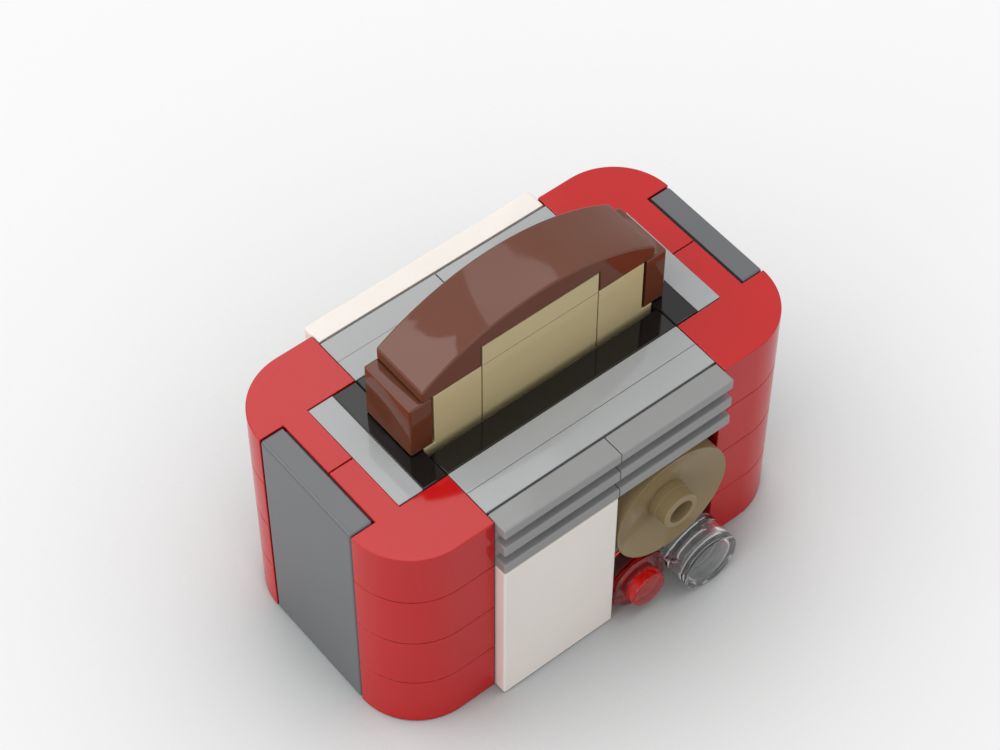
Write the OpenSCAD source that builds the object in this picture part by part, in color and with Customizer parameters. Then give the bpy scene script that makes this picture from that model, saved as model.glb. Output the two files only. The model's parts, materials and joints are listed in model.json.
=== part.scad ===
// Toy toaster made of interlocking bricks, with a slice of bread in its slot.
// The bricks lie on their sides: the courses are one stud pitch high, and the walls are stacks of
// plates on edge, so lengths across a wall are whole plates. The origin is the middle of the slot,
// on the surface that the toaster stands on, and the front faces -Y.

/* [Brick system] */
// Distance between the middles of neighbouring studs
pitch = 8; // [7.6:0.1:8.4]
// Diameter of a stud
stud_d = 4.8; // [4.6:0.05:4.9]
// Height of a stud
stud_h = 1.6; // [1.4:0.05:1.8]
// Gap that each side face keeps from the brick grid
play = 0.05; // [0.02:0.01:0.1]
// Gap between a stud and what grips it
stud_clear = 0.03; // [0.02:0.01:0.06]
// Gap round a stud that a piece turns on, and behind that piece
turn_clear = 0.05; // [0.03:0.01:0.08]
// Thickness of the top of a plate, over its hollow
roof_t = 1; // [0.8:0.05:1.1]
// Height of the groove round the foot of a tile
groove_h = 0.35; // [0.2:0.05:0.6]
// Depth of the groove round the foot of a tile
groove_in = 0.5; // [0.3:0.05:0.6]

/* [Corner bricks] */
// Thickness of the shell round the hollow in the foot of a corner brick
corner_wall = 1.5; // [1.2:0.1:1.8]

/* [Ribbed tiles] */
// Number of ribs across a ribbed tile
rib_count = 3; // [2:1:4]

/* [Dial] */
// Diameter of the bore in the hub of the dial
dial_bore_d = 3.2; // [2.8:0.1:3.4]
// Diameter of the collar at the foot of the hub
dial_collar_d = 5; // [4.9:0.1:5.6]
// Depth of the dish from its rim to the foot of the collar
dish_depth = 1.15; // [0.8:0.05:1.3]
// Thickness of the dish and of its outer wall
dish_t = 1.25; // [1:0.05:1.5]
// Gap between the outer wall of the dial and the plate that it turns on
dial_lift = 0.2; // [0.1:0.05:0.4]
// Thickness of the wall round the socket of the dial
dial_neck_wall = 0.8; // [0.6:0.1:1.2]

/* [Lamps] */
// Thickness of the wide flange of a lamp
lamp_flange_t = 1.2; // [0.8:0.1:1.6]
// Diameter of the narrow foot of a lamp
lamp_foot_d = 6.4; // [6.2:0.1:7]

/* [Bread] */
// Height of the curved crust at its middle, above the side bricks of the slice
crust_rise = 6.4; // [5.6:0.1:7.2]
// Height of the crust's upright ends
crust_end_h = 1.6; // [1.2:0.1:2]
// Depth of the recess in the outer face of the slice's end bricks
recess_depth = 1.55; // [1.4:0.05:1.6]

/* [Hidden] */
// Five plates are as thick as two studs are apart, and a brick is three plates high
plate_h = 2 * pitch / 5;
brick_h = 3 * plate_h;
stud_r = stud_d / 2;
socket_r = stud_r + stud_clear;
running_r = stud_r + turn_clear;
socket_depth = stud_h + stud_clear;

// The housing, counted in studs and plates
wall_stud_count = 4;
wall_len = wall_stud_count * pitch;
wall_height = wall_stud_count * pitch;
lining_y = brick_h / 2;
wall_inner_y = lining_y + plate_h;
wall_outer_y = wall_inner_y + plate_h;
panel_y = wall_outer_y + plate_h;
turning_y = panel_y + turn_clear;
end_inner_x = wall_len / 2;
end_outer_x = end_inner_x + plate_h;
ledge_x = end_outer_x + plate_h;
end_tile_x = ledge_x + plate_h;
end_x = end_tile_x + plate_h;

// Heights in the core under the slot, from the ground up
core_brick_z = 2 * plate_h;
slot_floor_z = core_brick_z + brick_h;

// The front, seen as a grid of studs
dial_x = pitch;
dial_z = 2 * pitch;
lamp_z = pitch / 2;
red_lamp_x = pitch / 2;
clear_lamp_x = 3 * pitch / 2;

// The dish of the dial, measured outward from the plate that it turns on
dish_r = pitch - play;
dish_rim = plate_h;
dish_floor = dish_rim - dish_depth;
collar_r = dial_collar_d / 2;
dish_curve = (pow(dish_r, 2) - pow(collar_r, 2)) / (2 * dish_depth);
dish_pole = dish_floor - pow(collar_r, 2) / (2 * dish_curve);

// The slice of bread hangs by its crust on the ends of the slot
bread_z = wall_height + pitch - brick_h;
bread_top_z = bread_z + brick_h;
arc_rise = crust_rise - crust_end_h;
crust_r = (pow(wall_len / 2, 2) + pow(arc_rise, 2)) / (2 * arc_rise);
ear_x = end_inner_x - recess_depth;

$fn = 64;
red = [0.71, 0.09, 0.09];
black = [0.05, 0.05, 0.05];
light_grey = [0.62, 0.64, 0.66];
mid_grey = [0.5, 0.5, 0.5];
dark_grey = [0.3, 0.31, 0.32];
white = [0.9, 0.89, 0.87];
tan = [0.72, 0.66, 0.5];
dark_tan = [0.42, 0.37, 0.27];
brown = [0.37, 0.17, 0.12];
clear_red = [0.8, 0.05, 0.05, 0.5];
clear = [0.9, 0.92, 0.93, 0.35];

SIDES = ["front_left", "front_right", "back_left", "back_right"];
COURSES = [1 : wall_stud_count];
function corner_name(side, course) = str("corner_brick_", side, "_", course);

// Puts a piece on a wall: its own +Z points out of the wall and its foot lies at that distance
module on_front(x, z, depth) {
    translate([x, -depth, z])
        rotate([90, 0, 0])
            children();
}

module on_back(x, z, depth) {
    translate([x, depth, z])
        rotate([-90, 0, 0])
            children();
}

module on_right(y, z, depth) {
    translate([depth, y, z])
        rotate([0, 90, 0])
            children();
}

module on_left(y, z, depth) {
    translate([-depth, y, z])
        rotate([0, -90, 0])
            children();
}

// Puts its children at the middle of each cell of a grid that is centred on the origin
module grid(nx, ny) {
    for (i = [0 : nx - 1])
        for (j = [0 : ny - 1])
            translate([(i - (nx - 1) / 2) * pitch, (j - (ny - 1) / 2) * pitch, 0])
                children();
}

module stud() {
    cylinder(r = stud_r, h = stud_h);
}

module block(nx, ny, h, inset = play) {
    translate([inset - nx * pitch / 2, inset - ny * pitch / 2, 0])
        cube([nx * pitch - 2 * inset, ny * pitch - 2 * inset, h]);
}

// What grips the studs inside a hollow: tubes between four studs, or posts in a single row
module grips(nx, ny, depth) {
    if (nx > 1 && ny > 1)
        grid(nx - 1, ny - 1)
            difference() {
                cylinder(r = pitch / sqrt(2) - socket_r, h = depth);
                cylinder(r = socket_r, h = depth);
            }
    else if (nx * ny > 1)
        grid(max(nx - 1, 1), max(ny - 1, 1))
            cylinder(r = pitch / 2 - socket_r, h = depth);
}

// Hollow under a piece, open at z = 0, whose walls touch the studs that it sits on
module hollow(nx, ny, depth) {
    difference() {
        block(nx, ny, depth, pitch / 2 - socket_r);
        grips(nx, ny, depth);
    }
}

// A plate or a brick with studs, hollow underneath
module brick(nx, ny, h = plate_h) {
    difference() {
        block(nx, ny, h);
        hollow(nx, ny, h - roof_t);
    }
    translate([0, 0, h])
        grid(nx, ny)
            stud();
}

// A smooth tile with a groove round its foot
module tile(nx, ny, depth = plate_h - roof_t) {
    difference() {
        union() {
            block(nx, ny, groove_h, play + groove_in);
            translate([0, 0, groove_h])
                block(nx, ny, plate_h - groove_h);
        }
        hollow(nx, ny, depth);
    }
}

// A two-stud brick with a stud on one side over each half
module side_stud_brick() {
    brick(2, 1, brick_h);
    translate([0, play - pitch / 2, brick_h - pitch / 2])
        rotate([90, 0, 0])
            grid(2, 1)
                cylinder(r = stud_r, h = stud_h + play);
}

// A plate with a single stud over the middle of its four cells
module jumper_plate() {
    difference() {
        block(2, 2, plate_h);
        hollow(2, 2, plate_h - roof_t);
    }
    translate([0, 0, plate_h])
        stud();
}

// A tile cut by grooves along its length, as deep as the tops of the studs below
module ribbed_tile() {
    rib_w = pitch / (2 * rib_count - 1);
    difference() {
        tile(2, 1, socket_depth);
        for (i = [1 : rib_count - 1])
            translate([-pitch, (2 * i - 1) * rib_w - pitch / 2, stud_h])
                cube([2 * pitch, rib_w, plate_h]);
    }
}

// Plan of a corner brick: a foot beside the wall, rounded on its outer corner, and a ledge
module corner_outline() {
    round_r = pitch - play;
    round_x = end_x - round_r;
    translate([end_inner_x, pitch + play])
        square([round_x - end_inner_x, pitch - 2 * play]);
    intersection() {
        translate([round_x, pitch])
            circle(r = round_r, $fn = 128);
        translate([round_x, pitch + play])
            square(pitch);
    }
    translate([ledge_x, play])
        square([plate_h, pitch + corner_wall]);
}

// The corner brick at the right end of the back, standing on its side in its own course
module corner_brick() {
    h = pitch - 2 * play;
    hollow_w = pitch - 2 * corner_wall;
    difference() {
        translate([0, 0, play])
            linear_extrude(h)
                corner_outline();
        translate([end_inner_x, pitch + corner_wall, corner_wall])
            cube([2 * plate_h + roof_t, hollow_w, hollow_w]);
        on_right(pitch / 2, pitch / 2, ledge_x)
            hollow(1, 1, plate_h - roof_t);
    }
    on_right(pitch / 2, pitch / 2, end_tile_x - roof_t)
        cylinder(r = stud_r, h = roof_t + stud_h);
}

// A round dish whose hollow side faces out, with an outer wall and a short neck that turns on a stud
module dial_shape() {
    neck_r = running_r + dial_neck_wall;
    difference() {
        union() {
            difference() {
                translate([0, 0, dial_lift])
                    cylinder(r = dish_r, h = dish_rim - dial_lift);
                difference() {
                    cylinder(r = dish_r - dish_t, h = dish_rim);
                    translate([0, 0, dish_pole - dish_t + dish_curve])
                        sphere(r = dish_curve, $fn = 128);
                }
            }
            cylinder(r = neck_r, h = dish_floor);
        }
        translate([0, 0, dish_pole + dish_curve])
            sphere(r = dish_curve, $fn = 128);
        dial_bores();
    }
    difference() {
        union() {
            translate([0, 0, socket_depth])
                cylinder(r = collar_r, h = dish_rim - socket_depth);
            translate([0, 0, socket_depth])
                cylinder(r = stud_r, h = dish_rim - socket_depth + stud_h);
        }
        dial_bores();
    }
}

// The socket for the stud behind the dial, and the smaller bore through its hub
module dial_bores() {
    cylinder(r = running_r, h = socket_depth);
    cylinder(d = dial_bore_d, h = 2 * plate_h);
}

// Body of a round lamp: a narrow foot with a socket and a wide flange in front
module round_plate() {
    difference() {
        union() {
            cylinder(d = lamp_foot_d, h = plate_h);
            translate([0, 0, plate_h - lamp_flange_t])
                cylinder(r = pitch / 2 - play, h = lamp_flange_t);
        }
        cylinder(r = running_r, h = socket_depth);
    }
    translate([0, 0, plate_h])
        stud();
}

// A flat round cap with a socket
module round_cap() {
    difference() {
        cylinder(r = pitch / 2 - play, h = plate_h);
        cylinder(r = socket_r, h = socket_depth);
    }
}

// An end brick of the slice: one stud wide, its outer face set back above a lip, with a side stud
module bread_end_brick() {
    face_x = pitch / 2 - recess_depth;
    lip_h = brick_h - pitch + play;
    difference() {
        block(1, 1, brick_h);
        hollow(1, 1, socket_depth);
        translate([face_x, -pitch, lip_h])
            cube([pitch, 2 * pitch, brick_h]);
    }
    translate([0, 0, brick_h])
        stud();
    translate([face_x, 0, brick_h - pitch / 2])
        rotate([0, 90, 0])
            stud();
}

// The crust over the slice: an arc four studs long, cut away over the middle plate
module crust_shape() {
    difference() {
        intersection() {
            block(wall_stud_count, 1, 2 * crust_rise);
            translate([0, 0, crust_rise - crust_r])
                rotate([90, 0, 0])
                    cylinder(r = crust_r, h = 2 * pitch, center = true, $fn = 256);
        }
        block(2, 1, plate_h, -play);
        translate([0, 0, plate_h])
            hollow(2, 1, socket_depth);
        for (side = [-1, 1])
            translate([side * 3 * pitch / 2, 0, 0])
                hollow(1, 1, socket_depth);
    }
}

module base_plate_lower() {
    color(black)
        brick(wall_stud_count, 2);
}

module base_plate_upper() {
    color(black)
        translate([0, 0, plate_h])
            brick(wall_stud_count, 2);
}

module side_stud_brick_front() {
    color(black)
        translate([0, -pitch / 2, core_brick_z])
            side_stud_brick();
}

module side_stud_brick_back() {
    color(black)
        translate([0, pitch / 2, core_brick_z])
            rotate([0, 0, 180])
                side_stud_brick();
}

module side_stud_brick_left() {
    color(black)
        translate([-3 * pitch / 2, 0, core_brick_z])
            rotate([0, 0, -90])
                side_stud_brick();
}

module side_stud_brick_right() {
    color(black)
        translate([3 * pitch / 2, 0, core_brick_z])
            rotate([0, 0, 90])
                side_stud_brick();
}

module slot_floor_tile() {
    color(black)
        translate([0, 0, slot_floor_z])
            tile(wall_stud_count, 2);
}

module slot_lining_front() {
    color(black)
        on_front(0, wall_height - pitch / 2, lining_y)
            brick(wall_stud_count, 1);
}

module slot_lining_back() {
    color(black)
        on_back(0, wall_height - pitch / 2, lining_y)
            brick(wall_stud_count, 1);
}

module wall_plate_front() {
    color(light_grey)
        on_front(0, wall_height / 2, wall_inner_y)
            brick(wall_stud_count, wall_stud_count);
}

module wall_plate_back() {
    color(light_grey)
        on_back(0, wall_height / 2, wall_inner_y)
            brick(wall_stud_count, wall_stud_count);
}

module face_plate_front_top() {
    color(light_grey)
        on_front(0, wall_height - pitch / 2, wall_outer_y)
            brick(wall_stud_count, 1);
}

module face_plate_front_left() {
    color(light_grey)
        on_front(-pitch, (wall_height - pitch) / 2, wall_outer_y)
            brick(2, wall_stud_count - 1);
}

module dial_plate() {
    color(light_grey)
        on_front(dial_x, dial_z, wall_outer_y)
            jumper_plate();
}

module lamp_plate() {
    color(light_grey)
        on_front(pitch, lamp_z, wall_outer_y)
            brick(2, 1);
}

module face_plate_back_left() {
    color(light_grey)
        on_back(-pitch, wall_height / 2, wall_outer_y)
            brick(2, wall_stud_count);
}

module face_plate_back_right() {
    color(light_grey)
        on_back(pitch, wall_height / 2, wall_outer_y)
            brick(2, wall_stud_count);
}

module grille_left() {
    color(mid_grey)
        on_front(-pitch, wall_height - pitch / 2, panel_y)
            ribbed_tile();
}

module grille_right() {
    color(mid_grey)
        on_front(pitch, wall_height - pitch / 2, panel_y)
            ribbed_tile();
}

module front_tile() {
    color(white)
        on_front(-pitch, (wall_height - pitch) / 2, panel_y)
            tile(2, wall_stud_count - 1);
}

module back_tile_lower() {
    color(white)
        on_back(0, pitch, panel_y)
            tile(wall_stud_count, 2);
}

module back_tile_upper() {
    color(white)
        on_back(0, wall_height - pitch, panel_y)
            tile(wall_stud_count, 2);
}

module end_plate_inner_left() {
    color(black)
        on_left(0, wall_height / 2, end_inner_x)
            brick(wall_stud_count, 2);
}

module end_plate_inner_right() {
    color(black)
        on_right(0, wall_height / 2, end_inner_x)
            brick(wall_stud_count, 2);
}

module end_plate_outer_left() {
    color(light_grey)
        on_left(0, wall_height / 2, end_outer_x)
            brick(wall_stud_count, 2);
}

module end_plate_outer_right() {
    color(light_grey)
        on_right(0, wall_height / 2, end_outer_x)
            brick(wall_stud_count, 2);
}

module end_tile_left() {
    color(dark_grey)
        on_left(0, wall_height / 2, end_tile_x)
            tile(wall_stud_count, 2);
}

module end_tile_right() {
    color(dark_grey)
        on_right(0, wall_height / 2, end_tile_x)
            tile(wall_stud_count, 2);
}

// One course of a corner, mirrored from the right end of the back as its side says
module corner_course(side, course) {
    left = side == "front_left" || side == "back_left";
    front = side == "front_left" || side == "front_right";
    color(red)
        translate([0, 0, (course - 1) * pitch])
            mirror([left ? 1 : 0, 0, 0])
                mirror([0, front ? 1 : 0, 0])
                    corner_brick();
}

module dial() {
    color(dark_tan)
        on_front(dial_x, dial_z, turning_y)
            dial_shape();
}

module red_lamp() {
    color(clear_red)
        on_front(red_lamp_x, lamp_z, turning_y)
            round_plate();
}

module clear_lamp_plate() {
    color(clear)
        on_front(clear_lamp_x, lamp_z, turning_y)
            round_plate();
}

module clear_lamp_cap() {
    color(clear)
        on_front(clear_lamp_x, lamp_z, turning_y + plate_h)
            round_cap();
}

module bread_end_brick_left() {
    color(tan)
        translate([-3 * pitch / 2, 0, bread_z])
            rotate([0, 0, 180])
                bread_end_brick();
}

module bread_end_brick_right() {
    color(tan)
        translate([3 * pitch / 2, 0, bread_z])
            bread_end_brick();
}

module bread_middle_brick() {
    color(tan)
        translate([0, 0, bread_z])
            brick(2, 1, brick_h);
}

module bread_middle_plate() {
    color(tan)
        translate([0, 0, bread_top_z])
            brick(2, 1);
}

module bread_bottom_plate() {
    color(tan)
        translate([0, 0, bread_z - plate_h])
            brick(wall_stud_count, 1);
}

module crust_top() {
    color(brown)
        translate([0, 0, bread_top_z])
            crust_shape();
}

module crust_left() {
    color(brown)
        on_left(0, bread_top_z - pitch / 2, ear_x)
            tile(1, 1);
}

module crust_right() {
    color(brown)
        on_right(0, bread_top_z - pitch / 2, ear_x)
            tile(1, 1);
}

base_plate_lower();
base_plate_upper();
side_stud_brick_front();
side_stud_brick_back();
side_stud_brick_left();
side_stud_brick_right();
slot_floor_tile();
slot_lining_front();
slot_lining_back();
wall_plate_front();
wall_plate_back();
face_plate_front_top();
face_plate_front_left();
dial_plate();
lamp_plate();
face_plate_back_left();
face_plate_back_right();
grille_left();
grille_right();
front_tile();
back_tile_lower();
back_tile_upper();
end_plate_inner_left();
end_plate_inner_right();
end_plate_outer_left();
end_plate_outer_right();
end_tile_left();
end_tile_right();
dial();
red_lamp();
clear_lamp_plate();
clear_lamp_cap();
bread_end_brick_left();
bread_end_brick_right();
bread_middle_brick();
bread_middle_plate();
bread_bottom_plate();
crust_top();
crust_left();
crust_right();
for (side = SIDES)
    for (course = COURSES)
        corner_course(side, course);
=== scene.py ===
import json
import math

import bmesh
import bpy
from mathutils import Matrix, Vector


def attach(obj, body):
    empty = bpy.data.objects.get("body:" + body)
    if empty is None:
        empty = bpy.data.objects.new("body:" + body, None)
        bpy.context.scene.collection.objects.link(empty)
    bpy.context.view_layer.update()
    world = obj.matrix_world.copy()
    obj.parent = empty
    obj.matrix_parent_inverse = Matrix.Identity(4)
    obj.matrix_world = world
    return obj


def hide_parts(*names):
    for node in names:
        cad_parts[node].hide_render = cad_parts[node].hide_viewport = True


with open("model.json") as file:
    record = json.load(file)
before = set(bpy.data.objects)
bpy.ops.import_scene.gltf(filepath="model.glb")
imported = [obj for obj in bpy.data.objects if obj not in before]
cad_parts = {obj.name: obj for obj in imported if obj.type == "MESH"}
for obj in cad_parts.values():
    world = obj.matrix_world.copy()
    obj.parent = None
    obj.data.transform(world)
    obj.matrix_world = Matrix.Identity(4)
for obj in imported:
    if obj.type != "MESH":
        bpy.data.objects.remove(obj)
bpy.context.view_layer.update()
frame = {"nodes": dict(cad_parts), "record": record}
nodes = frame["nodes"]


# Sizes in millimetres, as in part.scad. The front faces -Y

MM = 0.001
PITCH = 8
PLATE = 0.4 * PITCH
PLAY, STUD_CLEAR, TURN_CLEAR = 0.05, 0.03, 0.05
STUD_R, STUD_H = 2.4, 1.6
STUD_TOP = PLATE + STUD_H
SOCKET_DEEP = STUD_H + STUD_CLEAR
TURN_R = STUD_R + TURN_CLEAR
WALL_TOP, WALL_END = 4 * PITCH, 2 * PITCH
SLOT_HALF = 1.5 * PLATE
PANEL_Y = SLOT_HALF + 3 * PLATE
PANEL_FRONT = PANEL_Y + PLATE
TURNING_Y = PANEL_Y + TURN_CLEAR
LAMP_FRONT, CAP_FRONT = TURNING_Y + PLATE, TURNING_Y + 2 * PLATE


# Nodes

def node_adder(tree):
    """A function that adds a node to a tree and sets its inputs, by place or by name."""
    def add(kind, *values, props=None, **named):
        node = tree.nodes.new(kind)
        for key, value in (props or {}).items():
            setattr(node, key, value)
        sockets = [*node.inputs[:len(values)], *(node.inputs[key.replace("_", " ")] for key in named)]
        for socket, value in zip(sockets, [*values, *named.values()]):
            if isinstance(value, bpy.types.NodeSocket):
                tree.links.new(value, socket)
            else:
                socket.default_value = value
        return node

    return add


def calc(add, operation, *values):
    """The result of a calculation with numbers."""
    return add("ShaderNodeMath", *values, props={"operation": operation}).outputs[0]


def vector_calc(add, operation, *values):
    """The results of a calculation with vectors: a vector, or a Value where it is a number."""
    return add("ShaderNodeVectorMath", *values, props={"operation": operation}).outputs


def map_range(add, value, start, end, low, high):
    """A value that goes from low to high while the given one goes from start to end."""
    node = add("ShaderNodeMapRange", Value=value, From_Min=start, From_Max=end, To_Min=low, To_Max=high)
    return node.outputs["Result"]


def blend(add, share, first, second):
    """The first shader where the share is 0, and the second where it is 1."""
    return add("ShaderNodeMixShader", share, first, second).outputs[0]


# Materials

# Noises: patches to a metre, finer layers, and how strong these are. A span is the part of the values used
NOISES = {
    "waves": (105.0, 0.0, 0.4),
    "ripples": (700.0, 1.0, 0.5),
    "grain": (5200.0, 2.0, 0.6),
    "drift": (80.0, 2.0, 0.5),
    "flecks": (2600.0, 3.0, 0.65),
    "rubs": (420.0, 4.0, 0.6),
    "polish": (500.0, 3.0, 0.5),
    "swell": (320.0, 2.0, 0.5),
    "clouds": (900.0, 2.0, 0.5),
}
SPANS = {
    "drift": (0.35, 0.65),
    "flecks": (0.3, 0.7),
    "rubs": (0.35, 0.75),
    "polish": (0.4, 0.8),
    "clouds": (0.4, 0.6),
}
SEED_STEP = (0.0137, 0.0071, 0.0193)

# Marks of the opaque plastics. The painted shade in seams and creases and the matt look of a turned face come
# in over a span too
RIPPLE_SHARE, GRAIN_MM = 0.02, 0.003
MOTTLE = 0.015
GLOSSY, RUBBED = 0.85, 1.6
SEAM_SHADE_REACH, SEAM_SHADE_SPAN = 0.4 * MM, (0.3, 0.9)
MATT_SPAN, MATT_SHARE = (0.26, 0.42), 0.34
PLASTIC_IOR = 1.46


def new_material(name):
    """An empty node material, and its function that adds nodes."""
    mat = bpy.data.materials.new(name)
    mat.use_nodes = True
    mat.node_tree.nodes.clear()
    return mat, node_adder(mat.node_tree)


def shade(*rgb):
    """A colour as it is seen on screen, 0 to 255, in Blender's linear values."""
    linear = [c / 255 / 12.92 if c <= 10 else ((c / 255 + 0.055) / 1.055) ** 2.4 for c in rgb]
    return (*linear, 1.0)


def grey(value):
    return (value, value, value, 1.0)


def coordinates(add, seed):
    """Object coordinates, moved by the seed so that no two materials have the same marks."""
    place = add("ShaderNodeMapping", Vector=add("ShaderNodeTexCoord").outputs["Object"],
                Location=tuple(seed * step for step in SEED_STEP))
    return place.outputs["Vector"]


def noise(add, at, kind):
    scale, detail, roughness = NOISES[kind]
    node = add("ShaderNodeTexNoise", Vector=at, Scale=scale, Detail=detail, Roughness=roughness)
    return node.outputs["Fac"]


def patches(add, at, kind, low, high):
    """A value that goes from low to high over the span of a noise."""
    return map_range(add, noise(add, at, kind), *SPANS[kind], low, high)


def bump(add, at, kind, strength, depth_mm, **below):
    """The normal of a surface that a noise raises, on top of another normal where one is given."""
    height = noise(add, at, kind)
    node = add("ShaderNodeBump", Strength=strength, Distance=depth_mm * MM, Height=height, **below)
    return node.outputs["Normal"]


def surface_marks(add, at, wave_mm):
    """The normal of a moulded face: wide shallow waves, short ripples and a very fine grain."""
    waves = bump(add, at, "waves", 1.0, wave_mm)
    ripples = bump(add, at, "ripples", 0.3, RIPPLE_SHARE * wave_mm, Normal=waves)
    return bump(add, at, "grain", 0.15, GRAIN_MM, Normal=ripples)


def plastic(name, seed, colour, wave_mm, seam_shade, rough):
    """Glossy moulded plastic. Its colour drifts a little and has fine flecks, rubbed patches dull it, and
    painted shade makes its seams and creases darker, by the share given. Faces that turn away are partly
    matt."""
    mat, add = new_material(name)
    at = coordinates(add, seed)
    # Painted shade: the colour is darker where nearby faces close in, in seams, creases and joints between
    # pieces
    seam_occlusion = add("ShaderNodeAmbientOcclusion", props={"samples": 4}, Distance=SEAM_SHADE_REACH).outputs["AO"]
    depth = map_range(add, seam_occlusion, *SEAM_SHADE_SPAN, 1.0 - seam_shade, 1.0)
    drift = patches(add, at, "drift", 1.0 - MOTTLE, 1.0 + MOTTLE)
    fleck = patches(add, at, "flecks", 1.0 - MOTTLE / 2, 1.0 + MOTTLE / 2)
    value = calc(add, "MULTIPLY", calc(add, "MULTIPLY", drift, fleck), depth)
    tint = add("ShaderNodeHueSaturation", Color=colour, Value=value).outputs["Color"]
    gloss = patches(add, at, "rubs", rough * GLOSSY, rough * RUBBED)
    normal = surface_marks(add, at, wave_mm)
    shiny = add("ShaderNodeBsdfPrincipled", Base_Color=tint, Roughness=gloss, IOR=PLASTIC_IOR, Normal=normal)
    matt = add("ShaderNodeBsdfDiffuse", Color=tint, Normal=normal)
    turned_away = add("ShaderNodeLayerWeight", Blend=0.5).outputs["Facing"]
    share = map_range(add, turned_away, *MATT_SPAN, 0.0, MATT_SHARE)
    add("ShaderNodeOutputMaterial", Surface=blend(add, share, shiny.outputs["BSDF"], matt.outputs["BSDF"]))
    return mat


# How far beyond its start, in mm, a clear piece's painted inside, an opaque share that stands in for the
# light through it, comes in and falls off, and the part left then
PAINTED_INSIDE_RISE, PAINTED_INSIDE_FALL, PAINTED_INSIDE_LEFT = (0, 0.1), (1.3, 1.42), 0.45
CLEAREST, CLOUDIEST = 0.7, 1.0
TINT_DENSITY = 520.0
CLEAR_IOR = 1.5
POLISHED, DULLED = 0.01, 0.04
SWELL_MM = 0.04


def clear_plastic(name, seed, colour, body, painted_inside_from, painted_inside_share, inside=None):
    """See-through plastic: a polished skin with a faint swell. From a distance in front of the toaster's
    middle on, a share of it looks solid, as a painted inside: a painted glow on the red lamp's stud, and
    painted grey for the shade seen through the clear lamp's front. A tinted one takes up light inside, so
    thin edges are paler."""
    mat, add = new_material(name)
    at = coordinates(add, seed)
    gloss = patches(add, at, "polish", POLISHED, DULLED)
    skin = {"Roughness": gloss, "IOR": CLEAR_IOR, "Normal": bump(add, at, "swell", 0.5, SWELL_MM)}
    glass = add("ShaderNodeBsdfPrincipled", Base_Color=colour, Transmission_Weight=1.0, **skin)
    solid = add("ShaderNodeBsdfPrincipled", Base_Color=body, **skin)
    y = add("ShaderNodeSeparateXYZ", add("ShaderNodeTexCoord").outputs["Object"]).outputs["Y"]
    ahead = calc(add, "MULTIPLY", y, -1.0)

    def fade(span, low, high):
        start, end = ((painted_inside_from + way) * MM for way in span)
        return map_range(add, ahead, start, end, low, high)

    # The painted inside comes in beyond a given distance in front, so its colour stands in for the light
    # passing through the piece
    painted_inside = calc(add, "MULTIPLY", fade(PAINTED_INSIDE_RISE, 0.0, painted_inside_share), fade(PAINTED_INSIDE_FALL, 1.0, PAINTED_INSIDE_LEFT))
    share = calc(add, "MULTIPLY", painted_inside, patches(add, at, "clouds", CLEAREST, CLOUDIEST))
    out = {"Surface": blend(add, share, glass.outputs["BSDF"], solid.outputs["BSDF"])}
    if inside:
        soak = add("ShaderNodeVolumeAbsorption", Color=inside, Density=TINT_DENSITY)
        out["Volume"] = soak.outputs["Volume"]
    add("ShaderNodeOutputMaterial", **out)
    return mat


# Opaque plastics: the colour, the depth of the waves in mm, how strong the painted shade in the seams is, and
# the roughness
OPAQUE = {
    "red_plastic": (shade(196, 20, 22), 0.15, 0.5, 0.07),
    "black_plastic": (shade(24, 23, 22), 0.15, 0.64, 0.07),
    "light_grey_plastic": (shade(171, 174, 175), 0.15, 0.64, 0.07),
    "mid_grey_plastic": (shade(148, 148, 148), 0.14, 0.15, 0.07),
    "white_plastic": (shade(243, 236, 230), 0.15, 0.64, 0.07),
    "dark_grey_plastic": (shade(104, 106, 109), 0.05, 0.64, 0.07),
    "dark_tan_plastic": (shade(145, 127, 93), 0.01, 0.12, 0.08),
    "tan_plastic": (shade(203, 187, 143), 0.15, 0.4, 0.07),
    "brown_plastic": (shade(107, 58, 38), 1.2, 0.64, 0.07),
}
materials = {slot: plastic(slot, seed, *look) for seed, (slot, look) in enumerate(OPAQUE.items(), 1)}
# The red lamp's stud gets a painted glow of bright red
materials["transparent_red_plastic"] = clear_plastic(
    "transparent_red_plastic", 21, shade(255, 236, 234), body=shade(240, 26, 26),
    painted_inside_from=LAMP_FRONT + 0.15, painted_inside_share=0.75, inside=(0.98, 0.02, 0.03, 1.0))
# The clear lamp's front gets painted grey for the shade seen through it
materials["transparent_clear_plastic"] = clear_plastic(
    "transparent_clear_plastic", 22, shade(246, 247, 248), body=shade(96, 96, 97),
    painted_inside_from=CAP_FRONT - 0.13, painted_inside_share=0.38)
slot_of = {part["node"]: part["material_slot"] for part in frame["record"]["subparts"]}


# Edges: the frame's own shapes stay, with the small rounding of moulded edges

EDGE, EDGE_STEPS = 0.3 * MM, 4
FLAT, SHARP, CREASE = math.radians(0.5), math.radians(30), math.radians(50)
SAME_PLACE = 0.002 * MM
ON_SIDE, ON_TWO_SIDES = 0.003 * MM, 1.5
BY_JOINT = 0.4 * MM
EVERYWHERE = -1.0
FRONT, LEFT, RIGHT, UP = (0, -1, 0), (-1, 0, 0), (1, 0, 0), (0, 0, 1)


def geometry_group(name):
    """An empty group for shapes, its function that adds nodes, and the shape that goes in."""
    tree = bpy.data.node_groups.new(name, "GeometryNodeTree")
    for way in ("INPUT", "OUTPUT"):
        tree.interface.new_socket(name="Geometry", in_out=way, socket_type="NodeSocketGeometry")
    add = node_adder(tree)
    return tree, add, add("NodeGroupInput").outputs[0]


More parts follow.
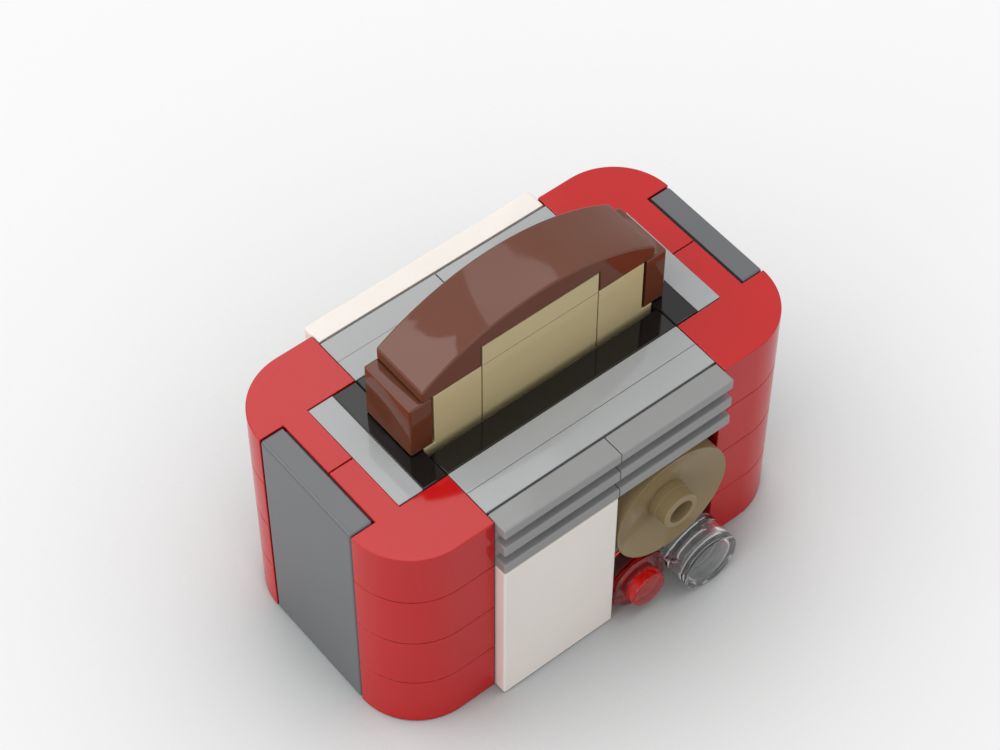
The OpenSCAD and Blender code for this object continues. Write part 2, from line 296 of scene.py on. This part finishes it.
def edge_weights(name, share, axis=UP, limit=EVERYWHERE, box_only=False, joint=1.0):
    """How round each sharp edge gets: a share of the full rounding beyond a distance along an axis, and
    none before it. Box only takes just the edges on two sides of the piece's box. Joint is what is left of
    the share at the middle of the model, where two pieces meet."""
    tree, add, shape = geometry_group(name)
    place = add("GeometryNodeInputPosition").outputs[0]
    along = vector_calc(add, "DOT_PRODUCT", place, axis)["Value"]
    angle = add("GeometryNodeInputMeshEdgeAngle").outputs["Unsigned Angle"]
    weight = calc(add, "GREATER_THAN", angle, SHARP)
    weight = calc(add, "MULTIPLY", weight, calc(add, "GREATER_THAN", along, limit))
    if box_only:
        box = add("GeometryNodeBoundBox", shape)
        low = vector_calc(add, "SUBTRACT", place, box.outputs["Min"])[0]
        high = vector_calc(add, "SUBTRACT", box.outputs["Max"], place)[0]
        near = add("ShaderNodeSeparateXYZ", vector_calc(add, "MINIMUM", low, high)[0])
        sides = [calc(add, "LESS_THAN", near.outputs[i], ON_SIDE) for i in range(3)]
        count = calc(add, "ADD", sides[0], calc(add, "ADD", sides[1], sides[2]))
        weight = calc(add, "MULTIPLY", weight, calc(add, "GREATER_THAN", count, ON_TWO_SIDES))
    if joint != 1.0:
        x = calc(add, "ABSOLUTE", add("ShaderNodeSeparateXYZ", place).outputs["X"])
        away = calc(add, "GREATER_THAN", x, BY_JOINT)
        weight = calc(add, "MULTIPLY", weight, calc(add, "MULTIPLY_ADD", away, 1.0 - joint, joint))
    store = add("GeometryNodeStoreNamedAttribute", props={"data_type": "FLOAT", "domain": "EDGE"},
                Geometry=shape, Name="bevel_weight_edge", Value=calc(add, "MULTIPLY", weight, share))
    add("NodeGroupOutput", store.outputs["Geometry"])
    return tree


def smooth_shading():
    """Smooth faces, with a crease where they meet at a sharp angle."""
    tree, add, shape = geometry_group("shade_smooth")
    smooth = add("GeometryNodeSetShadeSmooth", Geometry=shape)
    angle = add("GeometryNodeInputMeshEdgeAngle").outputs["Unsigned Angle"]
    creased = add("GeometryNodeSetShadeSmooth", props={"domain": "EDGE"}, Geometry=smooth.outputs["Geometry"],
                  Selection=calc(add, "GREATER_THAN", angle, CREASE), Shade_Smooth=False)
    add("NodeGroupOutput", creased.outputs["Geometry"])
    return tree


# Each kind of edge, and how the names of its pieces begin. All other pieces are plain bricks
KINDS = (
    (edge_weights("curved_brick_edges", 0.4), ("corner_brick", "bread_end_brick", "dial_plate")),
    (edge_weights("tile_edges", 1.3, box_only=True), ("back_tile", "end_tile")),
    (edge_weights("front_tile_edges", 1.0, box_only=True), ("front_tile",)),
    (edge_weights("slot_rim_edges", 0.6, UP, (WALL_TOP - 0.5) * MM), ("slot_lining", "end_plate_inner")),
    (edge_weights("rib_edges", 0.8, FRONT, (PANEL_FRONT - 1.5) * MM, joint=0.35), ("grille",)),
    (edge_weights("crust_edges", 0.8), ("crust_top",)),
    (edge_weights("left_ear_edges", 0.9, LEFT, (WALL_END - 1) * MM), ("crust_left",)),
    (edge_weights("right_ear_edges", 0.9, RIGHT, (WALL_END - 1) * MM), ("crust_right",)),
)
brick_edges = edge_weights("box_brick_edges", 0.4, box_only=True)
smooth_tree = smooth_shading()


def modify(obj, name, kind, **settings):
    """Adds a modifier to an object."""
    modifier = obj.modifiers.new(name, kind)
    for key, value in settings.items():
        setattr(modifier, key, value)


def dress(name, obj):
    """Gives a piece of the frame its material and its rounded edges."""
    obj.data.materials.clear()
    obj.data.materials.append(materials[slot_of[name]])
    edges = next((tree for tree, starts in KINDS if name.startswith(starts)), brick_edges)
    modify(obj, "weld", "WELD", merge_threshold=SAME_PLACE)
    modify(obj, "flat", "DECIMATE", decimate_type="DISSOLVE", angle_limit=FLAT)
    modify(obj, "edge_weights", "NODES", node_group=edges)
    modify(obj, "edges", "BEVEL", width=EDGE, segments=EDGE_STEPS, limit_method="WEIGHT")
    modify(obj, "smooth", "NODES", node_group=smooth_tree)
    modify(obj, "normals", "WEIGHTED_NORMAL", weight=100, keep_sharp=True)


REPLACED = ("dial", "red_lamp", "clear_lamp_plate", "clear_lamp_cap")
for name, obj in nodes.items():
    if name not in REPLACED:
        dress(name, obj)


# Turned pieces: the dial and the lamps, measured outward from the plate that they turn on

STEPS, CORNER_STEPS, DISH_STEPS = 160, 5, 14
ON_AXIS = 1e-6


def new_object(name, data):
    """An object in the scene."""
    obj = bpy.data.objects.new(name, data)
    bpy.context.scene.collection.objects.link(obj)
    return obj


def fillet(before, corner, after, radius):
    """Points of a round corner of a profile."""
    a, b, c = Vector(before), Vector(corner), Vector(after)
    u, v = (a - b).normalized(), (c - b).normalized()
    half = u.angle(v) / 2
    reach = radius / math.tan(half)
    centre = b + (u + v).normalized() * (radius / math.sin(half))
    start, end = b + u * reach - centre, b + v * reach - centre
    spread = [start.lerp(end, i / CORNER_STEPS) for i in range(CORNER_STEPS + 1)]
    return [centre + way.normalized() * radius for way in spread]


def rounded(profile):
    """Points of a closed profile of (radius, distance, corner radius)."""
    line = []
    for i, (r, out, corner) in enumerate(profile):
        if corner:
            line += fillet(profile[i - 1][:2], (r, out), profile[(i + 1) % len(profile)][:2], corner)
        else:
            line.append(Vector((r, out)))
    return line


def spin(bm, profile, at):
    """Adds the faces of a closed profile, spun about an axis that points out of the front."""
    x, height = at
    rings = []
    for r, out in rounded(profile):
        angles = [2 * math.pi * k / STEPS for k in range(STEPS)] if r > ON_AXIS else [0.0]
        rings.append([bm.verts.new(((x + r * math.cos(angle)) * MM, -(TURNING_Y + out) * MM,
                                    (height + r * math.sin(angle)) * MM)) for angle in angles])
    for inner, outer in zip(rings, rings[1:] + rings[:1]):
        if len(inner) == 1 and len(outer) == 1:
            continue
        for k in range(STEPS):
            n = (k + 1) % STEPS
            if len(inner) == 1:
                bm.faces.new((inner[0], outer[n], outer[k]))
            elif len(outer) == 1:
                bm.faces.new((inner[k], inner[n], outer[0]))
            else:
                bm.faces.new((inner[k], inner[n], outer[n], outer[k]))


def turned(name, profile, at, body, slot, void=()):
    """A piece spun from a closed profile in mm. A void is the profile of a space inside it."""
    bm = bmesh.new()
    spin(bm, profile, at)
    bmesh.ops.recalc_face_normals(bm, faces=bm.faces)
    if void:
        skin = set(bm.faces)
        spin(bm, void, at)
        inside = [face for face in bm.faces if face not in skin]
        bmesh.ops.recalc_face_normals(bm, faces=inside)
        bmesh.ops.reverse_faces(bm, faces=inside)
    for face in bm.faces:
        face.smooth = True
    for edge in bm.edges:
        edge.smooth = edge.calc_face_angle(0) < SHARP
    mesh = bpy.data.meshes.new(name)
    bm.to_mesh(mesh)
    bm.free()
    mesh.materials.append(materials[slot])
    piece = new_object(name, mesh)
    modify(piece, "normals", "WEIGHTED_NORMAL", weight=100, keep_sharp=True)
    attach(piece, body)
    return piece


# The dial: a dish with an outer wall, hollow side out, and a hub with a bore

DIAL_AT = (PITCH, 2 * PITCH)
DISH_R, DISH_T, DISH_DEPTH, DIAL_LIFT = PITCH - PLAY, 1.25, 1.15, 0.2
COLLAR_R, NECK_R, BORE_R = 2.5, TURN_R + 0.8, 1.6
DISH_CURVE = (DISH_R ** 2 - COLLAR_R ** 2) / (2 * DISH_DEPTH)
DISH_POLE = PLATE - DISH_DEPTH - COLLAR_R ** 2 / (2 * DISH_CURVE)


def dish_arc(pole, from_r, to_r, last_corner):
    """Points of a face of the dish, which is part of a ball."""
    radii = [from_r + (to_r - from_r) * i / DISH_STEPS for i in range(DISH_STEPS + 1)]
    arc = [(r, pole + DISH_CURVE - math.sqrt(DISH_CURVE ** 2 - r ** 2), 0) for r in radii]
    return [*arc[:-1], (*arc[-1][:2], last_corner)]


dial = turned("dial_dish", [
    (BORE_R, STUD_TOP, 0.1), (STUD_R, STUD_TOP, 0.25), (STUD_R, PLATE, 0), (COLLAR_R, PLATE, 0.05),
    *dish_arc(DISH_POLE, COLLAR_R, DISH_R, 0.03),
    (DISH_R, DIAL_LIFT, 0.1), (DISH_R - DISH_T, DIAL_LIFT, 0.1),
    *dish_arc(DISH_POLE - DISH_T, DISH_R - DISH_T, NECK_R, 0),
    (NECK_R, 0, 0.1), (TURN_R, 0, 0.1), (TURN_R, SOCKET_DEEP, 0), (BORE_R, SOCKET_DEEP, 0),
], DIAL_AT, "dial", "dark_tan_plastic")
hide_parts("dial")


# The lamps: a round plate with a foot, and on the clear one a cap with a space round the plate's stud

RED_AT, CLEAR_AT = (PITCH / 2, PITCH / 2), (1.5 * PITCH, PITCH / 2)
LAMP_R, FOOT_R, FLANGE = PITCH / 2 - PLAY, 3.2, PLATE - 1.2
JOIN = 0.02
VOID_R, VOID_FOOT, VOID_TOP = 3.25, PLATE + 0.1, 5.35

foot = [
    (LAMP_R, FLANGE, 0.25), (FOOT_R, FLANGE, 0.1), (FOOT_R, 0, 0.15), (TURN_R, 0, 0.1),
    (TURN_R, SOCKET_DEEP, 0.1), (0, SOCKET_DEEP, 0),
]
red_lamp = turned("red_lamp_body", [
    (0, STUD_TOP, 0), (STUD_R, STUD_TOP, 0.2), (STUD_R, PLATE, 0.08), (LAMP_R, PLATE, 0.45), *foot,
], RED_AT, "red_lamp", "transparent_red_plastic")
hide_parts("red_lamp")
clear_lamp = turned("clear_lamp_body", [
    (0, 2 * PLATE, 0), (LAMP_R, 2 * PLATE, 0.35), (LAMP_R, PLATE + JOIN, 0), (LAMP_R - JOIN, PLATE, 0),
    (LAMP_R, PLATE - JOIN, 0), *foot,
], CLEAR_AT, "clear_lamp", "transparent_clear_plastic", void=[
    (0, STUD_TOP, 0), (STUD_R, STUD_TOP, 0.2), (STUD_R, VOID_FOOT, 0), (VOID_R, VOID_FOOT, 0),
    (VOID_R, VOID_TOP, 0.55), (0, VOID_TOP, 0),
])
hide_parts("clear_lamp_plate", "clear_lamp_cap")


# Stage: a pale floor that fades into a bright backdrop, a plain room and four soft lights, in metres

BACKDROP = 0.97
ROOM_LIGHT = 0.76
FLOOR_HALF = 1.6
FLOOR_DROP = 0.01 * MM
# The floor's emission is lower near the model as a painted shadow, and its red is lower there against the
# model's red bounce light
FLOOR_PALE, FLOOR_RED_AGAINST_BOUNCE, FLOOR_BOUNCE = 0.44, 0.405, 0.56
FLOOR_GLOW, PAINTED_SHADOW_SPAN = 0.511, (0.45, 1.0)
SHADE_REACH = 0.16
SWEEP_SPAN = (0.3, 1.2)
LIGHT_DISTANCE = 1.2
LIGHT_AIM = Vector((0, 0, 0.04))


def seen(add):
    """1 for rays that are seen, also in a reflection or through a clear piece, and 0 for other light."""
    rays = add("ShaderNodeLightPath").outputs
    straight = calc(add, "MAXIMUM", rays["Is Camera Ray"], rays["Is Glossy Ray"])
    return calc(add, "MAXIMUM", straight, rays["Is Transmission Ray"])


def floor_material():
    """Pale paper that fades into the backdrop far away. Close to the model its lit part is darker by real
    shadow, and its emission is lower by a painted shadow where the model hides the sky; its red is lower
    there too, against the red light that the model throws onto it. The light that it throws back onto the
    model is plain."""
    mat, add = new_material("floor")
    near = add("ShaderNodeAmbientOcclusion", props={"samples": 12}, Distance=SHADE_REACH).outputs["AO"]
    # Less red where the model hides the sky, against the red light bounced from the model
    red = map_range(add, near, 0.0, 1.0, FLOOR_RED_AGAINST_BOUNCE, FLOOR_PALE)
    colour = add("ShaderNodeCombineColor", Red=red, Green=FLOOR_PALE, Blue=FLOOR_PALE)
    lit = add("ShaderNodeBsdfDiffuse", Color=colour.outputs["Color"])
    # Painted shadow: the emission falls where the model hides the sky
    glow_with_painted_shadow = map_range(add, near, *PAINTED_SHADOW_SPAN, 0.0, FLOOR_GLOW)
    lift = add("ShaderNodeEmission", Color=grey(1.0), Strength=glow_with_painted_shadow)
    paper = add("ShaderNodeAddShader", lit.outputs["BSDF"], lift.outputs["Emission"])
    away = vector_calc(add, "LENGTH", add("ShaderNodeTexCoord").outputs["Object"])["Value"]
    far = map_range(add, away, *SWEEP_SPAN, 0.0, 1.0)
    backdrop = add("ShaderNodeEmission", Color=grey(BACKDROP), Strength=1.0)
    sweep = blend(add, far, paper.outputs["Shader"], backdrop.outputs["Emission"])
    bounce = add("ShaderNodeBsdfDiffuse", Color=grey(FLOOR_BOUNCE))
    add("ShaderNodeOutputMaterial", Surface=blend(add, seen(add), bounce.outputs["BSDF"], sweep))
    return mat


def bright_room():
    """A plain world that looks a little brighter than the light that it gives."""
    world = bpy.data.worlds.new("studio")
    world.use_nodes = True
    world.node_tree.nodes.clear()
    add = node_adder(world.node_tree)
    room = add("ShaderNodeBackground", Color=grey(1.0), Strength=ROOM_LIGHT)
    backdrop = add("ShaderNodeBackground", Color=grey(BACKDROP), Strength=1.0)
    add("ShaderNodeOutputWorld", Surface=blend(add, seen(add), room.outputs[0], backdrop.outputs[0]))
    return world


def softbox(name, azimuth, elevation, width, height, strength):
    """A rectangular soft light, placed by its direction from the object. Strength 1 looks white."""
    data = bpy.data.lights.new(name, "AREA")
    data.shape = "RECTANGLE"
    data.size, data.size_y = width, height
    data.energy = strength * math.pi * width * height
    light = new_object(name, data)
    a, e = math.radians(azimuth), math.radians(elevation)
    way = Vector((math.cos(a) * math.cos(e), math.sin(a) * math.cos(e), math.sin(e)))
    light.location = LIGHT_AIM + way * LIGHT_DISTANCE
    light.rotation_euler = way.to_track_quat("Z", "Y").to_euler()


corners = [(x * FLOOR_HALF, y * FLOOR_HALF, 0) for x, y in ((-1, -1), (1, -1), (1, 1), (-1, 1))]
floor_mesh = bpy.data.meshes.new("floor")
floor_mesh.from_pydata(corners, [], [(0, 1, 2, 3)])
floor_mesh.materials.append(floor_material())
floor = new_object("floor", floor_mesh)
floor.location.z = -FLOOR_DROP
bpy.context.scene.world = bright_room()
softbox("key", 141, 44, 0.69, 0.65, 1.84)
softbox("strip", 60, 52, 0.26, 0.69, 1.1)
softbox("left", 185, 20, 0.69, 0.52, 1.9)
softbox("ceiling", 0, 90, 0.78, 0.78, 0.85)


# Camera, at the photograph's viewing angle, in metres

CAMERA_AT = Vector((-0.11968, -0.14457, 0.27051))
CAMERA_RIGHT = Vector((0.77757094, -0.62879411, 0.00118651)).normalized()
CAMERA_AHEAD = Vector((0.38557576, 0.47531327, -0.79082781)).normalized()
SENSOR, LENS = 36, 100.44
CLIP_START, CLIP_END = 0.01, 10

cam_data = bpy.data.cameras.new("camera")
cam_data.sensor_width = SENSOR
cam_data.lens = LENS
cam_data.clip_start = CLIP_START
cam_data.clip_end = CLIP_END
camera = new_object("camera", cam_data)
turn = Matrix((CAMERA_RIGHT, CAMERA_RIGHT.cross(CAMERA_AHEAD), -CAMERA_AHEAD)).transposed().to_4x4()
camera.matrix_world = Matrix.Translation(CAMERA_AT) @ turn
bpy.context.scene.camera = camera
bpy.context.scene.view_settings.view_transform = "Standard"
